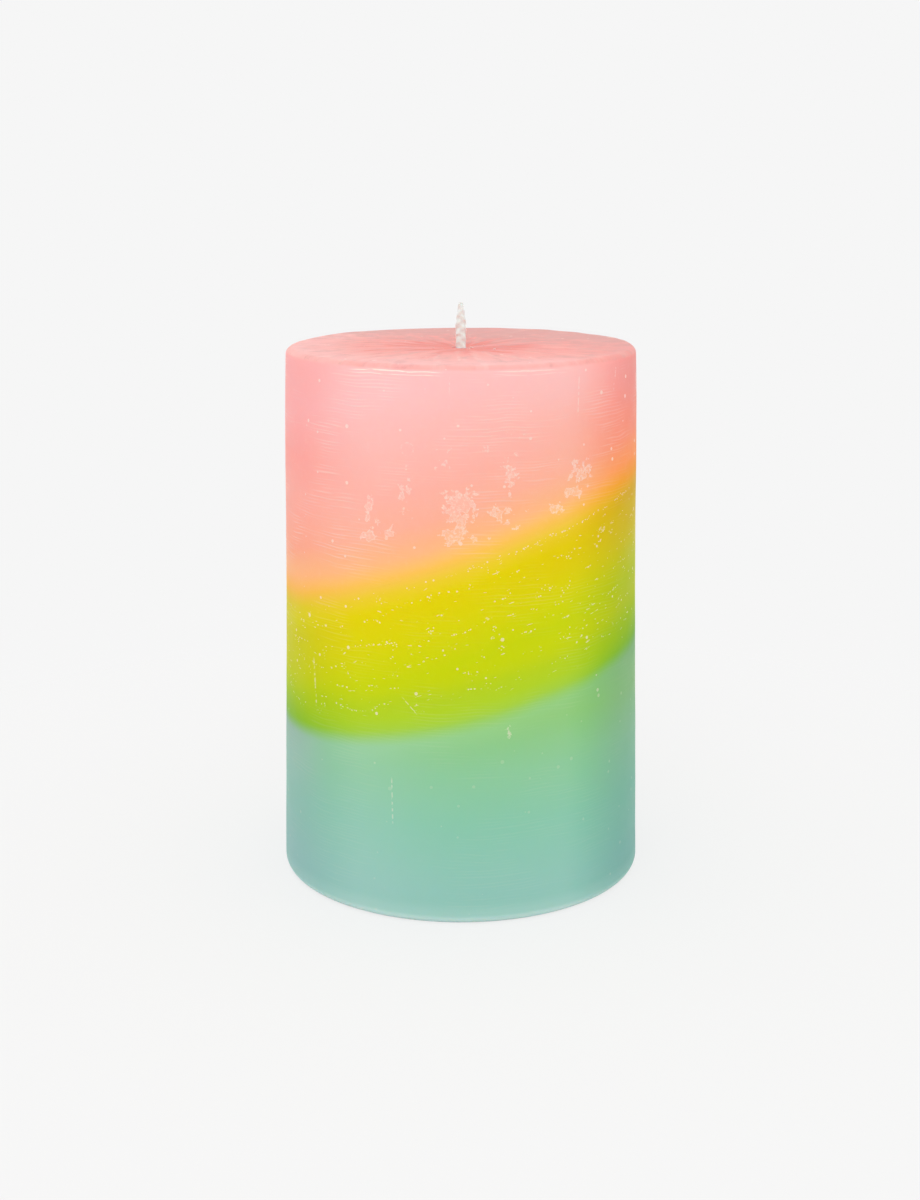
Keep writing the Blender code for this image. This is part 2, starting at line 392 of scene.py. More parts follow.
class Value:
    """A number that nodes work out. Anything worked out from it adds the nodes that this takes."""

    def __init__(self, socket):
        self.socket = socket
        self.tree = socket.id_data

    def by(self, operation, other=0.0):
        made = add_node(self.tree, "ShaderNodeMath", {0: self, 1: other}, operation=operation)
        return Value(made.outputs[0])

    def __add__(self, other):
        return self.by("ADD", other)

    def __sub__(self, other):
        return self.by("SUBTRACT", other)

    def __mul__(self, other):
        return self.by("MULTIPLY", other)

    def __abs__(self):
        return self.by("ABSOLUTE")

    def under(self, limit):
        """1 where the value is under a limit, and 0 elsewhere."""
        return self.by("LESS_THAN", limit)

    def band(self, low, high, bottom=0.0, top=1.0):
        """Eased from one level to another as the value goes from low to high."""
        bounds = {0: self, 1: low, 2: high, 3: bottom, 4: top}
        made = add_node(self.tree, "ShaderNodeMapRange", bounds, interpolation_type="SMOOTHSTEP")
        return Value(made.outputs[0])

    def ramp(self, *stops):
        """Colours by the value: each stop is a value and its colour."""
        low, high = stops[0][0], stops[-1][0]
        share = add_node(self.tree, "ShaderNodeMapRange", {0: self, 1: low, 2: high}).outputs[0]
        made = add_node(self.tree, "ShaderNodeValToRGB", {"Fac": share})
        elements = made.color_ramp.elements
        elements[0].color, elements[1].color = stops[0][1], stops[-1][1]
        for at, tint in stops[1:-1]:
            elements.new((at - low) / (high - low)).color = tint
        return made.outputs["Color"]

    def blend(self, below, above):
        """One colour over another, the value being the upper one's share."""
        made = add_node(self.tree, "ShaderNodeMix", {0: self, 6: below, 7: above}, data_type="RGBA")
        return made.outputs[2]


def most_of(value, *others):
    """The largest of some values."""
    for other in others:
        value = value.by("MAXIMUM", other)
    return value


def noise_of(place, grain, detail=2.0, roughness=0.5):
    """A cloudy pattern from 0 to 1, whose grain is given in the unit of the place."""
    inputs = {"Vector": place, "Scale": 1 / grain, "Detail": detail, "Roughness": roughness}
    return Value(add_node(place.id_data, "ShaderNodeTexNoise", inputs).outputs["Fac"])


def new_material(name):
    material = bpy.data.materials.new(name)
    material.use_nodes = True
    material.node_tree.nodes.clear()
    return material, material.node_tree


# Pour faces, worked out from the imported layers' boxes


def pour_face(below_high, above_low, heading):
    """(height on the axis, slope vector) of the face between two layers."""
    height = (below_high[2] + above_low[2]) / 2
    slope = (below_high[2] - above_low[2] + SEAT_GAP) / (2 * BASE_RADIUS)
    return height, Vector((slope * math.cos(heading), slope * math.sin(heading)))


def pour_faces(wax):
    """The lower and the upper pour face."""
    lower = pour_face(BASE_LAYER_HIGH, MIDDLE_LAYER_LOW, wax.lower_heading)
    return lower, pour_face(MIDDLE_LAYER_HIGH, TOP_LAYER_LOW, wax.upper_heading)


# Wax


def wax_material(wax):
    """Dyed paraffin, cast in a mould: light goes a little way in, so edges glow and shade is soft.

    The mould and the cooling leave fine level lines, frost where the wax let go of the mould late,
    and strings of tiny bubbles along the pours. Places on the wax are in millimetres here.
    """
    material, tree = new_material("dyed_paraffin_wax")
    place = add_node(tree, "ShaderNodeTexCoord").outputs["Object"]
    mm = add_node(tree, "ShaderNodeVectorMath", {0: place, "Scale": 1 / MM}, operation="SCALE").outputs[0]
    axes = add_node(tree, "ShaderNodeSeparateXYZ", {0: mm}).outputs
    across, depth, height = (Value(axis) for axis in axes)

    def vector_of(operation, *inputs):
        made = add_node(tree, "ShaderNodeVectorMath", dict(enumerate(inputs)), operation=operation)
        return made.outputs[0]

    def number_of(operation, *inputs):
        return Value(vector_of(operation, *inputs).node.outputs["Value"])

    def stretched(x, y, z):
        """The place, scaled along each axis, for a pattern that runs one way."""
        return vector_of("MULTIPLY", mm, (x, y, z))

    def cells(size):
        """Distance to the nearest of scattered points, and a lot from 0 to 1 that it has drawn."""
        made = add_node(tree, "ShaderNodeTexVoronoi", {"Vector": mm, "Scale": 1 / size}).outputs
        lot = add_node(tree, "ShaderNodeSeparateColor", {0: made["Color"]}).outputs[0]
        return Value(made["Distance"]), Value(lot)

    # The pours met while warm, so their faces wander by half a millimetre
    wander = noise_of(mm, 20) * 1.6 - 0.8
    lower_level, upper_level = (
        number_of("DOT_PRODUCT", mm, (-slope.x, -slope.y, 1.0)) - face_height / MM + wander
        for face_height, slope in pour_faces(wax)
    )
    flat = stretched(1.0, 1.0, 0.0)
    from_wick = number_of("LENGTH", flat)

    upper_colours = upper_level.ramp(
        (-18, wax.lime),
        (-11, wax.citron),
        (-4.4, wax.yellow),
        (-1.8, wax.gold),
        (0.8, wax.amber),
        (4.0, wax.apricot),
        (9.2, wax.coral_warm),
        (16, wax.coral),
        (24, wax.coral_pale),
        (34, wax.coral_rim),
    )
    lower_colours = lower_level.ramp((-0.6, wax.leaf), (2.8, wax.lime_green), (9.8, wax.lime))
    dye = height.ramp((6, wax.blue_teal), (18, wax.teal), (28, wax.green_teal), (37, wax.sea_green))
    # Painted light: bluish and lilac greys towards the limbs, standing in for reflection and shade there.
    right_limb_mask = across.band(20, 32) * height.band(8, 30, 0.15, 0.25)
    left_limb_mask = across.band(-22, -32) * height.band(14, 30, 0.14, 0.35)
    at_wall = from_wick.band(30, 32)
    greener = across.band(-20, -33, 0.0, 0.4) * upper_level.band(2, -3) * lower_level.band(3, 9)
    warmer = across.band(4, 20, 0.0, 0.3) * upper_level.band(-0.5, -3) * upper_level.band(-16, -5)
    # Painted shade: darker coral on the upper right of the wall.
    right_rim_shade = across.band(22, 33) * height.band(82, 97, 0.1, 0.5) * upper_level.band(4, 10)
    for share, tint in (
        (across.band(2, -32, 0.0, 0.2), wax.left_limb_tint),
        (most_of(right_limb_mask, left_limb_mask) * depth.band(24, -2), wax.side_limb_tint),
        # Painted light: paler foot band along the lower edge, in place of floor light and reflection.
        (height.band(4.5, 1.5, 0.0, 0.25) * at_wall, wax.foot),
        (height.band(1.9, 0.9, 0.0, 0.75) * at_wall, wax.foot),
        (lower_level.band(-2.5, 1.1), lower_colours),
        (lower_level.band(5, 11), upper_colours),
        (height.band(89, 98, 0.0, 0.45), wax.coral_rim),
        (greener, wax.lime),
        (warmer, wax.ochre),
        (right_rim_shade, wax.right_rim_shade),
    ):
        dye = share.blend(dye, tint)

    # Painted shade: the dye is deepened towards the sides and the back, standing in for the darker,
    # stronger-coloured limbs.
    blended_left = abs(upper_level - 1.0).band(9, 3, 0.0, 0.6) * across.band(0, -20)
    side_shade_mask = most_of(abs(across).band(17, 34), depth.band(-4, 14, 0.0, 0.7))
    side_shade_mask *= blended_left * -1.0 + 1.0
    right_shade_mask = most_of(across.band(18, 33), depth.band(-4, 14, 0.0, 0.6))
    right_shade_mask *= lower_level.band(2, 8, 1.0, 1.4)
    left_shade_mask = most_of(height.band(72, 82), upper_level.band(-2, -8, 0.0, 0.4))
    left_shade_mask *= across.band(-12, -33)
    painted_shade_depth = side_shade_mask * wax.side_shade + right_shade_mask * wax.side_shade_right
    painted_shade_depth += left_shade_mask * wax.side_shade_left
    dye = add_node(tree, "ShaderNodeGamma", {"Color": dye, "Gamma": painted_shade_depth + 1.0}).outputs[0]

    # Top face: deep coral streaks fan out from the wick, it is paler at the front and left, and it turns
    # greyer towards the back and the right
    outward = vector_of("NORMALIZE", flat)
    ring = add_node(tree, "ShaderNodeCombineXYZ", {2: from_wick * 0.07}).outputs[0]
    fan, fine_fan = (
        vector_of("MULTIPLY_ADD", outward, (x, y, 0.0), ring) for x, y in ((3.0, 4.5), (11.0, 14.0))
    )
    near_wick = from_wick.band(25, 2, -0.09, 0.1) + abs(depth + 4.0).band(13, 3, 0.0, 0.07)
    pale_edge = most_of(depth.band(-12, -30), from_wick.band(16, 32) * across.band(0, -24))
    rays = noise_of(fine_fan, 1.0, 4.0, 0.6).band(0.52, 0.68, 0.0, 0.16) * from_wick.band(8, 20)
    haze = noise_of(fan, 1 / 2.3, 6.0, 0.7) * 0.6 + noise_of(mm, 3.0, 5.0, 0.7) * 0.4
    haze += (depth + across * 0.3).band(-4, 26, 0.0, 0.24)
    top_colours = pale_edge.blend(wax.top_coral, wax.top_front)
    for share, tint in (
        ((noise_of(fan, 1.0, 5.0, 0.62) + near_wick).band(0.49, 0.7, 0.0, 0.8), wax.deep_coral),
        (rays, wax.frost),
        (haze.band(0.45, 0.74, 0.0, 0.85), wax.grey_top_tint),
        (across.band(18, 32, 0.0, 0.35), wax.grey_top_tint),
    ):
        top_colours = share.blend(top_colours, tint)
    dye = height.band(98.9, 99.5).blend(dye, top_colours)

    # Level lines, about half a millimetre apart, where the wax cooled against the mould
    # The paler colour on the lines is partly painted sheen, the glint that the ripples catch, strongest
    # on the coral; the ripples themselves are real.
    line_spacing = 0.58
    sway = noise_of(mm, 10, 1.0) * 13.0 + noise_of(stretched(0.05, 0.05, 0.6), 1.0, 1.0) * 10.0
    ripples = (height * (2 * math.pi / line_spacing) + sway).by("SINE")
    lines = (
        ripples.band(-0.2, 1.0)
        * noise_of(stretched(0.07, 0.07, 0.11), 1.0).band(0.44, 0.64)
        * noise_of(stretched(0.12, 0.12, 1.5), 1.0, 1.0).band(0.36, 0.6)
        * upper_level.band(-6, 10, 0.14, 1.0)
        * height.band(99.2, 98.6)
        * across.band(20, 30, 1.0, 0.45)
    )

    # Frost, where the mesh's own mark says: a thin veil, crumpled inside and whiter at its torn edge
    marked = Value(add_node(tree, "ShaderNodeAttribute", attribute_name="frost").outputs["Fac"])
    growth = marked + noise_of(mm, 1.3, 4.0, 0.62) * 2.4 - 1.2
    here = marked.band(0.05, 0.2)
    veil = growth.band(0.5, 0.58) * here
    torn_edge = growth.band(0.46, 0.53) * growth.band(0.68, 0.57) * here
    crumple = abs(noise_of(mm, 0.8) - 0.5).band(0.035, 0.01)
    grains = noise_of(mm, 0.45).band(0.52, 0.62)
    frost = veil * (upper_level.band(-3, 2, 0.05, 0.12) + (crumple + grains) * 0.2) + torn_edge * 0.3

    # On the front only: two painted highlight lines on the upper edge, standing in for the glint on its
    # rounding, a few fine scratches and a ring left by a burst bubble
    glint_spacing = 0.62
    glint_height = height + noise_of(stretched(0.1, 0.1, 0.4), 1.0) * -1.6
    rim_glint = (
        most_of(abs(across + 11.5).band(9, 6), abs(across - 12.5).band(8, 4, 0.0, 0.5))
        * (glint_height * (2 * math.pi / glint_spacing)).by("SINE").band(0.25, 0.85)
        * height.band(97.7, 98.6)
        * height.band(99.35, 99.0)
        * noise_of(stretched(0.2, 0.2, 1.0), 1.0, 3.0, 0.6).band(0.36, 0.5)
    )

    def scratch(at, low, high, lean):
        """A fine upright scratch: where it is across, its heights, and how far it leans."""
        off = across + height * -lean + (lean * low - at)
        ends = height.band(low - 0.6, low + 0.6) * height.band(high + 0.6, high - 0.6)
        return abs(off).band(0.16, 0.05) * ends

    scratches = most_of(*(scratch(*measures) for measures in SCRATCHES))
    ring_across, ring_height, ring_radius = RING
    to_ring = number_of("DISTANCE", stretched(1.0, 0.0, 1.0), (ring_across, 0.0, ring_height))
    ring_line = abs(to_ring - ring_radius).band(0.2, 0.06, 0.0, 0.7)
    broken = noise_of(mm, 0.6, 3.0).band(0.42, 0.56)
    front_marks_and_glint = most_of(rim_glint * 2.5, scratches * broken, ring_line * broken) * depth.under(0.0)

    # Tiny bubbles: a dotted line along the upper pour face, short strings parallel to the lower one,
    # and single ones anywhere
    bead, bead_lot = cells(0.75)
    fine_bead, _ = cells(0.5)
    single, single_lot = cells(2.5)
    rung_spacing = 1.9
    in_middle = lower_level.band(2, 6) * upper_level.band(-1, -4)
    on_face = abs(upper_level + 1.6)
    dotted = on_face.under(0.17) * fine_bead.under(0.34) * noise_of(mm, 5, 1.0).band(0.36, 0.46)
    beaded = on_face.under(0.5) * bead.under(bead_lot * 0.22 + 0.08)
    beaded *= noise_of(mm, 7, 1.0).band(0.42, 0.5)
    wavering = lower_level + noise_of(mm, 9, 1.0) * 5.0
    rung = wavering.by("PINGPONG", rung_spacing).band(0.24, 0.1)
    rung *= fine_bead.under(0.35) * noise_of(mm, 4, 1.0).band(0.55, 0.59)
    level_place = {0: across * 0.6, 1: depth * 0.6, 2: wavering * 3.2}
    along_rungs = add_node(tree, "ShaderNodeCombineXYZ", level_place).outputs[0]
    dash = noise_of(along_rungs, 1.0, 1.0).band(0.72, 0.76)
    cluster = fine_bead.under(0.26) * noise_of(mm, 2.6, 1.0).band(0.65, 0.7)
    speck = single.under((single_lot - 0.35) * (0.15 / 0.65)) * lower_level.band(-8, 2, 0.25, 1.0)
    bubbles = most_of(
        dotted * across.band(-6, 8), beaded, most_of(rung, cluster, dash) * in_middle, speck
    )

    mottle = noise_of(mm, 1.1, 5.0, 0.7).band(0.48, 0.75, 0.0, 0.05) * upper_level.band(-3, 4, 0.15, 1.0)
    dye = most_of(frost, bubbles * 0.5, lines * 0.26, front_marks_and_glint * 0.38, mottle).blend(dye, wax.frost)
    relief = lines * 0.9 + frost * 0.8 + front_marks_and_glint * 0.8 + bubbles + noise_of(mm, 0.5, 3.0) * 0.35
    bump = add_node(tree, "ShaderNodeBump", {"Height": relief, "Strength": 0.6, "Distance": 0.03 * MM})
    dulled = {0: noise_of(mm, 6, 3.0) + frost, 1: 0.3, 2: 0.9, 3: 0.42, 4: 0.6}
    roughness = add_node(tree, "ShaderNodeMapRange", dulled).outputs[0]

    # Light would be lost between two layers, so it stays at the surface next to a pour face
    to_face = abs(upper_level).by("MINIMUM", abs(lower_level))
    shader = add_node(
        tree,
        "ShaderNodeBsdfPrincipled",
        {
            "Base Color": dye,
            "Roughness": roughness,
            "IOR": 1.44,
            "Specular IOR Level": 0.07,
            "Normal": bump.outputs[0],
            "Subsurface Weight": to_face.band(1.2, 6.0, 0.0, 0.7),
            "Subsurface Radius": (1.0, 0.7, 0.5),
            "Subsurface Scale": 1.5 * MM,
        },
        subsurface_method="RANDOM_WALK",
    )
    add_node(tree, "ShaderNodeOutputMaterial", {"Surface": shader.outputs["BSDF"]})
    return material


def plait_half_sizes(wick):
    """(half width, half depth) of the plait."""
    diameter = wick.strand_diameter
    lift = CROSSING_SPACE * diameter / (2 * math.sin(math.radians(60)))
    return diameter * (0.5 + PLAIT_SWING), lift + diameter / 2


def neck_sizes(wick):
    """(bore radius, half width and half depth at the crimp) of the sustainer's neck."""
    half_width, half_depth = plait_half_sizes(wick)
    bore = half_width + NECK_CLEARANCE
    crimp_half_depth = half_depth + CRIMP_CLEARANCE
    return bore, math.sqrt(2 * bore**2 - crimp_half_depth**2), crimp_half_depth


def wax_section(wax, wick, sustainer):
    """Closed section of the cast body, down its wall, along its base and up its bore."""
    bore = plait_half_sizes(wick)[0] + BORE_CLEARANCE
    pocket = neck_sizes(wick)[1] + sustainer.sheet + SEAT_GAP
    recess = DISC_RADIUS + SEAT_GAP
    recess_top = DISC_UNDERSIDE + sustainer.sheet + SEAT_GAP
    top_radius = BASE_RADIUS - BODY_HEIGHT * math.tan(wax.mould_draft)
    top_centre = (top_radius - wax.top_edge_radius, BODY_HEIGHT - wax.top_edge_radius)
    base_centre = (BASE_RADIUS - wax.base_edge_radius, wax.base_edge_radius)
    upper_arc = arc(top_centre, wax.top_edge_radius, 90, 0, 8)
    lower_arc = arc(base_centre, wax.base_edge_radius, 0, -90, 8)
    top_inner = (bore, BODY_HEIGHT)
    pocket_top = (bore, NECK_TOP + SEAT_GAP)
    return [
        top_inner,
        *between(top_inner, upper_arc[0], 40),
        *upper_arc,
        *between(upper_arc[-1], lower_arc[0], 130),
        *lower_arc,
        *between(lower_arc[-1], (recess, 0), 8),
        (recess, 0),
        (recess, recess_top),
        *between((recess, recess_top), (pocket, recess_top), 3),
        (pocket, recess_top),
        (pocket, pocket_top[1]),
        pocket_top,
        *between(pocket_top, top_inner, 12),
    ]


def top_rise(wax, x, y):
    """How far the top face lies above its plain height: slow waves, ridges and the dip at the wick."""
    wave = noise.noise(Vector((x, y, 0)) / (14 * MM) + Vector((3, 1, 7)))
    ridge = 0.5 * noise.noise(Vector((x, y, 0)) / (4 * MM) + Vector((8, 2, 5)))
    tilt = 1.2 * x / BASE_RADIUS * smooth_step(-1, 1, y / BASE_RADIUS)
    dip = wax.hollow * smooth_step(16 * MM, 0, math.hypot(x, y))
    return wax.top_unevenness * (wave + ridge + tilt) - dip


def settle_wax(obj, wax, half_width, half_depth):
    """Moves the turned wax to its cast shape: swell, waist, uneven top and oval bore."""
    bore = half_width + BORE_CLEARANCE
    swell_height, waist_height = 87 * MM, 48 * MM
    for vert in obj.data.vertices:
        x, y, z = vert.co
        radius = math.hypot(x, y)
        vert.co.z += smooth_step(BODY_HEIGHT - 5 * MM, BODY_HEIGHT, z) * top_rise(wax, x, y)
        if radius < 1.05 * bore:
            vert.co.y *= (half_depth + BORE_CLEARANCE) / bore
            continue
        swell = wax.swell * bell(swell_height, 12 * MM, z) - wax.waist * bell(waist_height, 16 * MM, z)
        ripple = 0.05 * MM * noise.noise(Vector((x, y, z)) / (9 * MM))
        outward = smooth_step(0.5 * BASE_RADIUS, 0.95 * BASE_RADIUS, radius) * smooth_step(0, 4 * MM, z)
        share = 1 + outward * (swell + ripple) / radius
        vert.co.x *= share
        vert.co.y *= share


def wall_marks(upper_face):
    """Frost on the wall: how far round from the front, height, half width, half height, whiteness."""
    radius = BASE_RADIUS / MM
    marks = []
    for across, height, half_width, half_height, white in FROST_MARKS:
        turn = math.asin(across / radius)
        marks.append((radius * turn, height, half_width / math.cos(turn), half_height, white))
    face_height, slope = upper_face
    chance = random.Random(5)
    for patch in range(11):
        turn = math.radians(75 + 17.5 * patch + chance.uniform(-8, 8))
        rise = face_height / MM + slope.x * radius * math.sin(turn) + chance.uniform(5, 20)
        for flake in range(chance.choice((1, 1, 2, 3, 4))):
            marks.append(
                (
                    radius * turn + chance.gauss(0, 3.2),
                    rise + chance.gauss(0, 2.2),
                    chance.uniform(0.5, 2.1),
                    chance.uniform(0.5, 1.9),
                    chance.uniform(0.4, 0.95),
                )
            )
    return marks


def mark_frost(obj, upper_face):
    """Marks on the mesh where frost lies on the wall."""
    marks = wall_marks(upper_face)
    round_wall = 2 * math.pi * BASE_RADIUS / MM
    layer = obj.data.attributes.new("frost", "FLOAT", "POINT")
    for vert, mark in zip(obj.data.vertices, layer.data):
        x, y, z = vert.co / MM
        if math.hypot(x, y) < 0.9 * BASE_RADIUS / MM or z < 20:
            continue
        place = math.atan2(x, -y) * BASE_RADIUS / MM
        for at, height, half_width, half_height, white in marks:
            off = (place - at + round_wall / 2) % round_wall - round_wall / 2
            apart = (off / half_width) ** 2 + ((z - height) / half_height) ** 2
            if apart < 6:
                mark.value = max(mark.value, white * math.exp(-0.7 * apart))


class CANDLE_OT_wax(bpy.types.Operator):
    """Casts the three wax layers"""

    bl_idname = "candle.wax"
    bl_label = "Wax layers"
    bl_options = {"REGISTER", "UNDO"}

    def execute(self, context):
        wax = context.scene.candle_wax
        wick = context.scene.candle_wick
        body = turned("cast_body", wax_section(wax, wick, context.scene.candle_sustainer), wax.steps)
        settle_wax(body, wax, *plait_half_sizes(wick))
        lower, upper = pour_faces(wax)
        mark_frost(body, upper)
        material = wax_material(wax)
        (lower_height, lower_normal), (upper_height, upper_normal) = (
            (height, Vector((-slope.x, -slope.y, 1)).normalized()) for height, slope in (lower, upper)
        )
        skin = 0.002 * MM
        base = copy_of(body, "base_wax")
        bisect(base, (0, 0, lower_height - skin), lower_normal, True)
        middle = copy_of(body, "middle_wax")
        bisect(middle, (0, 0, lower_height + skin), lower_normal, False)
        bisect(middle, (0, 0, upper_height - skin), upper_normal, True)
        top = body
        top.name = "top_wax"
        bisect(top, (0, 0, upper_height + skin), upper_normal, False)
        finish_piece(base, material, "base_wax", "base_wax_layer")
        finish_piece(middle, material, "middle_wax", "middle_wax_layer")
        finish_piece(top, material, "top_wax", "top_wax_layer")
        return {"FINISHED"}


# Wick


def cotton_material(name, pale, shade):
    """Cotton yarn soaked in wax: off-white, a little shiny, with fine fibres that catch the light."""
    material, tree = new_material(name)
    place = add_node(tree, "ShaderNodeTexCoord").outputs["Object"]
    fibres = noise_of(place, 0.22 * MM, 3.0, 0.6)
    bump = add_node(tree, "ShaderNodeBump", {"Height": fibres, "Strength": 0.5, "Distance": 0.04 * MM})
    shader = add_node(
        tree,
        "ShaderNodeBsdfPrincipled",
        {
            "Base Color": fibres.ramp((0.3, shade), (0.6, pale)),
            "Roughness": 0.5,
            "IOR": 1.45,
            "Normal": bump.outputs["Normal"],
            "Subsurface Weight": 0.4,
            "Subsurface Radius": (1.0, 0.85, 0.7),
            "Subsurface Scale": 0.3 * MM,
        },
    )
    add_node(tree, "ShaderNodeOutputMaterial", {"Surface": shader.outputs["BSDF"]})
    return material


def draw_strand(wick, number, foot, end, coat=0.0, yarns=5):
    """One strand of the plait as a mesh tube, with its twisted yarns as low lobes."""
    diameter = wick.strand_diameter
    # Soaked strands swell and press together, so they are fuller here and lie closer than the solids
    core = 1.18 * diameter / 2
    swing = 1.08 * diameter
    lift = 0.85 * CROSSING_SPACE * diameter / (2 * math.sin(math.radians(60)))
    twist_length = 2.1 * MM
    tip = BODY_HEIGHT + wick.proud
    deselect_all()
    bpy.ops.curve.primitive_nurbs_circle_add(radius=core + coat)
    section = bpy.context.object
    points = 4 * yarns
    section.data.splines.clear()
    line = section.data.splines.new("POLY")
    line.points.add(points - 1)
    for index, point in enumerate(line.points):
        turn = 2 * math.pi * index / points
        radius = (core + coat) * (0.95 + 0.05 * math.cos(yarns * turn))
        point.co = (radius * math.cos(turn), radius * math.sin(turn), 0, 1)
    line.use_cyclic_u = True
    bpy.ops.curve.primitive_nurbs_path_add()
    strand = bpy.context.object
    curve = strand.data
    curve.splines.clear()
    curve.bevel_mode = "OBJECT"
    curve.bevel_object = section
    curve.use_fill_caps = True
    stations = math.ceil((end - foot) / wick.lay * 24)
    line = curve.splines.new("POLY")
    line.points.add(stations)
    for station, point in enumerate(line.points):
        height = foot + (end - foot) * station / stations
        turn = 2 * math.pi * ((height - DISC_UNDERSIDE) / wick.lay + number / 3)
        share = 1 - (1 - wick.tip_share) * smooth_step(tip - wick.tip_length, tip, height)
        point.co = (share * swing * math.sin(turn), share * lift * math.sin(2 * turn), height, 1)
        point.radius = (share * core + coat) / (core + coat)
        point.tilt = 2 * math.pi * height / twist_length
    activate(strand)
    bpy.ops.object.convert(target="MESH")
    strand = bpy.context.object
    bpy.ops.object.mode_set(mode="EDIT")
    bpy.ops.mesh.select_all(action="SELECT")
    bpy.ops.mesh.remove_doubles(threshold=1e-6)
    bpy.ops.mesh.normals_make_consistent(inside=False)
    bpy.ops.object.mode_set(mode="OBJECT")
    bpy.data.objects.remove(section)
    return strand


class CANDLE_OT_wick(bpy.types.Operator):
    """Plaits the three strands of the wick"""

    bl_idname = "candle.wick"
    bl_label = "Wick"
    bl_options = {"REGISTER", "UNDO"}

    def execute(self, context):
        wick = context.scene.candle_wick
        material = cotton_material("waxed_cotton_yarn", wick.cotton, wick.cotton_shade)
        for number, letter in enumerate("abc"):
            strand = draw_strand(wick, number, DISC_UNDERSIDE, BODY_HEIGHT + wick.proud)
            strand.name = "cotton_strand_" + letter
            strand.data.name = strand.name
            finish_piece(strand, material, "waxed_cotton", "wick_strand_" + letter)
        return {"FINISHED"}


def priming_material(wick):
    """Undyed wax that the wick was drawn through: smooth, cloudy, with pinkish film on its edges."""
    material, tree = new_material("priming_wax")
    place = add_node(tree, "ShaderNodeTexCoord").outputs["Object"]
    axes = add_node(tree, "ShaderNodeSeparateXYZ", {0: place}).outputs
    across, height = Value(axes[0]), Value(axes[2])
    cloud = noise_of(place, 0.9 * MM, 4.0, 0.6)
    edge = abs(across).band(0.8 * MM, 0.98 * MM, 0.0, 0.5)
    low = height.band(BODY_HEIGHT + 4.4 * MM, BODY_HEIGHT + 3.2 * MM, 0.0, 0.8)
    film = (cloud + edge).band(0.84, 0.94) * low
    tint = cloud.ramp((0.35, wick.cotton_shade), (0.6, wick.priming))
    bump = add_node(tree, "ShaderNodeBump", {"Height": cloud, "Strength": 0.2, "Distance": 0.03 * MM})
    shader = add_node(
        tree,
        "ShaderNodeBsdfPrincipled",
        {
            "Base Color": film.blend(tint, wick.crumb),
            "Roughness": 0.45,
            "IOR": 1.44,
            "Specular IOR Level": 0.3,
            "Normal": bump.outputs["Normal"],
            "Subsurface Weight": 0.3,
            "Subsurface Radius": (1.0, 0.9, 0.8),
            "Subsurface Scale": 0.3 * MM,
        },
    )
    add_node(tree, "ShaderNodeOutputMaterial", {"Surface": shader.outputs["BSDF"]})
    return material


def scatter_crumbs(wax, wick):
    """Small chips of wax on the top face near the wick, joined as one piece."""
    chips = []
    for number, (across, depth, size) in enumerate(CRUMBS):
        x, y, width = across * MM, depth * MM, size * MM
        centre = Vector((x, y, BODY_HEIGHT + top_rise(wax, x, y) + 0.2 * width))
        deselect_all()
        bpy.ops.mesh.primitive_ico_sphere_add(
            subdivisions=3, radius=width / 2, location=centre, scale=(1.0, 0.8, 0.35)
        )
        chip = bpy.context.object
        bpy.ops.object.transform_apply(location=True, rotation=True, scale=True)
        for vert in chip.data.vertices:
            offset = vert.co - centre
            lump = noise.noise(offset / (0.35 * width) + Vector((number, 2 * number, 5)))
            vert.co = centre + offset * (1 + 0.45 * lump)
        chips.append(chip)
    activate(chips[0])
    for chip in chips[1:]:
        chip.select_set(True)
    bpy.ops.object.join()
    crumbs = bpy.context.object
    crumbs.name = "wax_crumbs"
    crumbs.data.name = crumbs.name
    finish_piece(crumbs, cotton_material("paraffin_crumbs", wick.crumb, wax.top_coral), "top_wax")


def melt(obj, grain):
    """Melts what touches into one skin."""
    remesh = obj.modifiers.new("Melt", "REMESH")
    remesh.mode = "VOXEL"
    remesh.voxel_size = grain
    bpy.ops.object.modifier_apply(modifier=remesh.name)


class CANDLE_OT_priming(bpy.types.Operator):
    """Primes the free end of the wick with wax and leaves crumbs at its foot"""

    bl_idname = "candle.priming"
    bl_label = "Priming and crumbs"
    bl_options = {"REGISTER", "UNDO"}

    def execute(self, context):
        wick = context.scene.candle_wick
        foot = BODY_HEIGHT - 2 * MM
        end = BODY_HEIGHT + wick.proud
        fill = 0.45 * MM
        grain = 0.07 * MM
        coat = wick.prime_thickness + fill
        strands = [draw_strand(wick, number, foot, end + 2 * fill, coat) for number in range(3)]
        activate(strands[0])
        for strand in strands[1:]:
            strand.select_set(True)
        bpy.ops.object.join()
        coat = context.object
        coat.name = "wick_priming"
        coat.data.name = coat.name
        melt(coat, grain)
        bpy.ops.object.mode_set(mode="EDIT")
        bpy.ops.mesh.select_all(action="SELECT")
        bpy.ops.transform.shrink_fatten(value=-fill)
        bpy.ops.object.mode_set(mode="OBJECT")
        melt(coat, grain)
        trimmed_aslant = (0.3, -0.1, 1.0)
        bisect(coat, (0, 0, end - 0.05 * MM), trimmed_aslant, True)
        settle = coat.modifiers.new("Flow", "SMOOTH")
        settle.factor = 0.5
        settle.iterations = 120
        bpy.ops.object.modifier_apply(modifier=settle.name)
        finish_piece(coat, priming_material(wick), "waxed_cotton")
        scatter_crumbs(context.scene.candle_wax, wick)
        return {"FINISHED"}


# Sustainer


def tin_material(sustainer):
    """Tin-plated steel, stamped: bright grey with soft scuffs from the press and from handling."""
    material, tree = new_material("tin_plated_steel")
    place = add_node(tree, "ShaderNodeTexCoord").outputs["Object"]
    scuffs = noise_of(place, 1.5 * MM, 5.0, 0.65)
    shader = add_node(
        tree,
        "ShaderNodeBsdfPrincipled",
        {
            "Base Color": scuffs.ramp((0.35, sustainer.tin_worn), (0.6, sustainer.tin)),
            "Metallic": 1.0,
            "Roughness": scuffs * -0.2 + 0.42,
        },
    )
    add_node(tree, "ShaderNodeOutputMaterial", {"Surface": shader.outputs["BSDF"]})
    return material


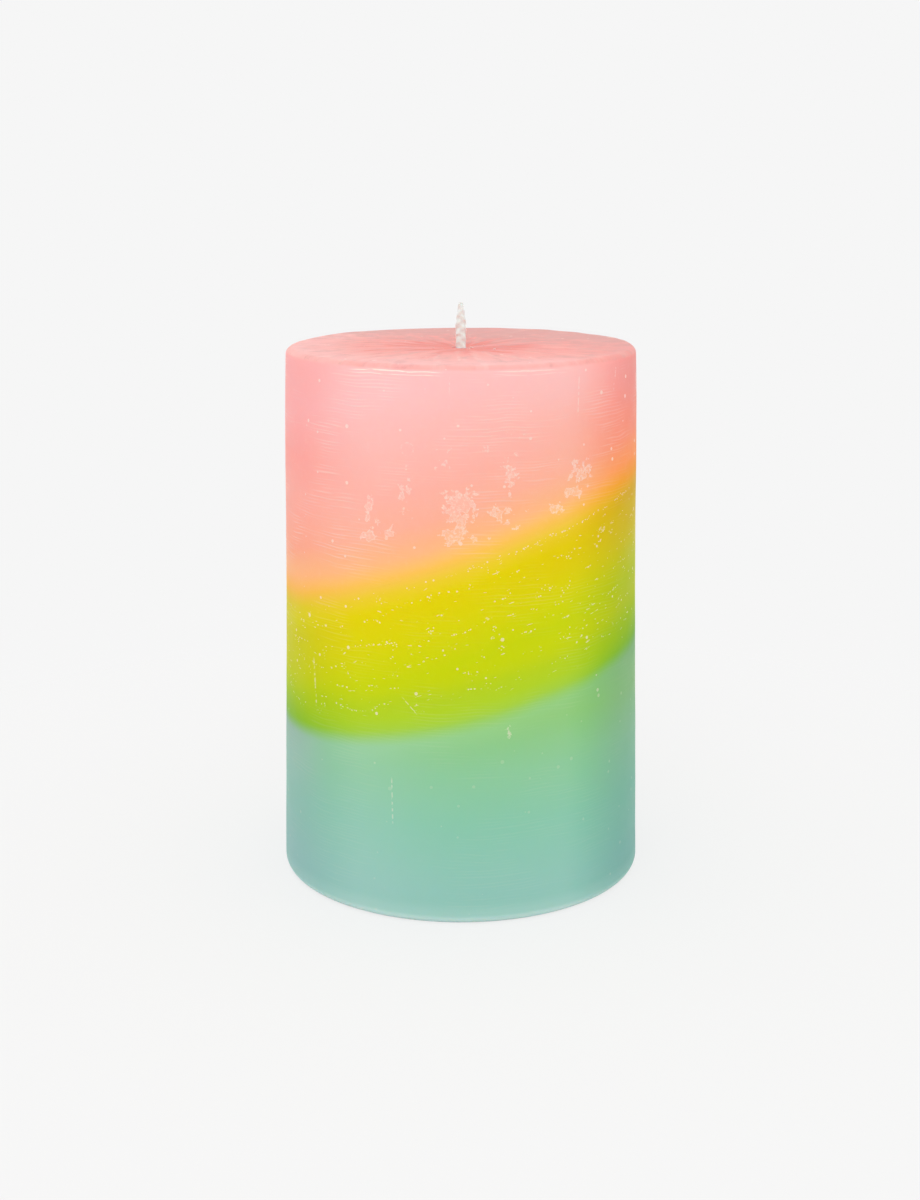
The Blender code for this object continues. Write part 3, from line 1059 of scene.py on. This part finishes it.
class CANDLE_OT_sustainer(bpy.types.Operator):
    """Stamps the sustainer and crimps its neck"""

    bl_idname = "candle.sustainer"
    bl_label = "Wick sustainer"
    bl_options = {"REGISTER", "UNDO"}

    def execute(self, context):
        sustainer = context.scene.candle_sustainer
        sheet = sustainer.sheet
        neck_bore, crimp_half_width, crimp_half_depth = neck_sizes(context.scene.candle_wick)
        crimp_start, crimp_end = 2.0 * MM, 3.5 * MM
        neck = NECK_TOP - DISC_UNDERSIDE
        bend = (neck_bore + sheet + sustainer.bend_radius, sheet + sustainer.bend_radius)
        rim = (DISC_RADIUS - sheet / 2, sheet / 2)
        outside = (neck_bore + sheet, neck)
        inside = (neck_bore, neck)
        section = [
            outside,
            *between(outside, (outside[0], bend[1]), 14),
            *arc(bend, sustainer.bend_radius, 180, 270, 6),
            *arc(rim, sheet / 2, 90, -90, 6),
            *arc(bend, sustainer.bend_radius + sheet, 270, 180, 6),
            *between((inside[0], bend[1]), inside, 14),
            inside,
        ]
        obj = turned("stamped_sustainer", [(r, z + DISC_UNDERSIDE) for r, z in section], 96)
        for vert in obj.data.vertices:
            ease = smooth_step(crimp_start, crimp_end, vert.co.z - DISC_UNDERSIDE)
            radius = math.hypot(vert.co.x, vert.co.y)
            vert.co.x += ease * (crimp_half_width - neck_bore) * vert.co.x / radius
            vert.co.y -= ease * (neck_bore - crimp_half_depth) * vert.co.y / radius
        finish_piece(obj, tin_material(sustainer), "tin_plate", "wick_sustainer")
        return {"FINISHED"}


# Studio


def add_softbox(name, location, side, watts):
    """A square lamp that faces the middle of the candle."""
    lamp = bpy.data.lights.new(name, "AREA")
    lamp.shape = "SQUARE"
    lamp.size = side
    lamp.energy = watts
    obj = bpy.data.objects.new(name, lamp)
    bpy.context.scene.collection.objects.link(obj)
    obj.location = location
    aim = Vector((0, 0, BODY_HEIGHT / 2)) - location
    obj.rotation_euler = aim.to_track_quat("-Z", "Y").to_euler()


def floor_material(stage):
    """Matt pale floor that keeps the candle's shadow, fades into the backdrop and hides nothing
    from below.
    """
    material, tree = new_material("studio_floor")
    place = add_node(tree, "ShaderNodeTexCoord").outputs["Object"]
    away = add_node(tree, "ShaderNodeVectorMath", {0: place}, operation="LENGTH").outputs["Value"]
    underneath = add_node(tree, "ShaderNodeNewGeometry").outputs["Backfacing"]
    seen = Value(add_node(tree, "ShaderNodeLightPath").outputs["Is Camera Ray"])
    fade = most_of(Value(away).band(100 * MM, 240 * MM), underneath)
    surface = add_node(tree, "ShaderNodeBsdfDiffuse", {"Color": stage.floor}).outputs[0]
    plain = add_node(tree, "ShaderNodeEmission", {"Color": stage.background, "Strength": 1.0})
    clear = add_node(tree, "ShaderNodeBsdfTransparent")
    for share, over in ((seen * stage.floor_lift, plain), (fade, clear)):
        layers = {0: share, 1: surface, 2: over.outputs[0]}
        surface = add_node(tree, "ShaderNodeMixShader", layers).outputs[0]
    add_node(tree, "ShaderNodeOutputMaterial", {"Surface": surface})
    return material


def build_world(stage):
    """Even sky light. The camera and shiny pieces see the plain pale backdrop."""
    world = bpy.data.worlds.new("studio")
    bpy.context.scene.world = world
    world.use_nodes = True
    tree = world.node_tree
    tree.nodes.clear()
    rays = add_node(tree, "ShaderNodeLightPath").outputs
    seen = most_of(Value(rays["Is Camera Ray"]), rays["Is Glossy Ray"], rays["Is Transmission Ray"])
    white = (1, 1, 1, 1)
    sky = add_node(tree, "ShaderNodeBackground", {"Color": white, "Strength": stage.sky_strength})
    backdrop = add_node(tree, "ShaderNodeBackground", {"Color": stage.background, "Strength": 1.0})
    layers = {0: seen, 1: sky.outputs[0], 2: backdrop.outputs[0]}
    mixed = add_node(tree, "ShaderNodeMixShader", layers)
    add_node(tree, "ShaderNodeOutputWorld", {"Surface": mixed.outputs[0]})


class CANDLE_OT_stage(bpy.types.Operator):
    """Sets up the floor, the lamps, the backdrop and the camera"""

    bl_idname = "candle.stage"
    bl_label = "Studio"
    bl_options = {"REGISTER", "UNDO"}

    def execute(self, context):
        stage = context.scene.candle_stage
        deselect_all()
        opening, reach = BASE_RADIUS - 2 * MM, 600 * MM
        bpy.ops.mesh.primitive_circle_add(vertices=128, radius=opening, location=(0, 0, 0))
        floor = context.object
        floor.name = "studio_floor"
        bpy.ops.object.mode_set(mode="EDIT")
        bpy.ops.mesh.extrude_region_move()
        bpy.ops.transform.resize(value=(reach / opening, reach / opening, 1))
        bpy.ops.object.mode_set(mode="OBJECT")
        if floor.data.polygons[0].normal.z < 0:
            floor.data.flip_normals()
        floor.data.materials.append(floor_material(stage))
        build_world(stage)
        key_place = Vector((-0.111, -0.699, 0.757))
        key_side = 0.7
        add_softbox("key_softbox", key_place, key_side, stage.key_strength)
        view = bpy.data.cameras.new("camera")
        view.lens = stage.focal_length
        view.sensor_width = 36.0
        view.shift_x = -0.0007
        view.shift_y = stage.shift_up
        view.clip_start = 10 * MM
        camera = bpy.data.objects.new("camera", view)
        context.scene.collection.objects.link(camera)
        camera.location = (0, -stage.camera_distance, stage.camera_height)
        camera.rotation_euler = (math.pi / 2 - stage.camera_pitch, 0, 0)
        context.scene.camera = camera
        context.scene.view_settings.view_transform = "Standard"
        return {"FINISHED"}


class CANDLE_PT_panel(bpy.types.Panel):
    """Lists the steps that make the candle"""

    bl_idname = "CANDLE_PT_panel"
    bl_label = "Layered candle"
    bl_space_type = "VIEW_3D"
    bl_region_type = "UI"
    bl_category = "Candle"

    def draw(self, context):
        for operator in OPERATORS:
            self.layout.operator(operator.bl_idname)
        for name in SETTINGS:
            box = self.layout.box()
            settings = getattr(context.scene, name)
            for field in settings.bl_rna.properties.keys():
                if field not in ("rna_type", "name"):
                    box.prop(settings, field)


OPERATORS = (
    CANDLE_OT_wax,
    CANDLE_OT_wick,
    CANDLE_OT_priming,
    CANDLE_OT_sustainer,
    CANDLE_OT_stage,
)
SETTINGS = {
    "candle_wax": CandleWaxSettings,
    "candle_wick": CandleWickSettings,
    "candle_sustainer": CandleSustainerSettings,
    "candle_stage": CandleStageSettings,
}


def register():
    for cls in (*SETTINGS.values(), *OPERATORS, CANDLE_PT_panel):
        bpy.utils.register_class(cls)
    for name, cls in SETTINGS.items():
        setattr(bpy.types.Scene, name, PointerProperty(type=cls))


def unregister():
    for name in SETTINGS:
        delattr(bpy.types.Scene, name)
    for cls in (CANDLE_PT_panel, *reversed(OPERATORS), *reversed(SETTINGS.values())):
        bpy.utils.unregister_class(cls)


def main():
    register()
    bpy.ops.candle.wax()
    bpy.ops.candle.wick()
    bpy.ops.candle.priming()
    bpy.ops.candle.sustainer()
    bpy.ops.candle.stage()


if __name__ == "__main__":
    main()
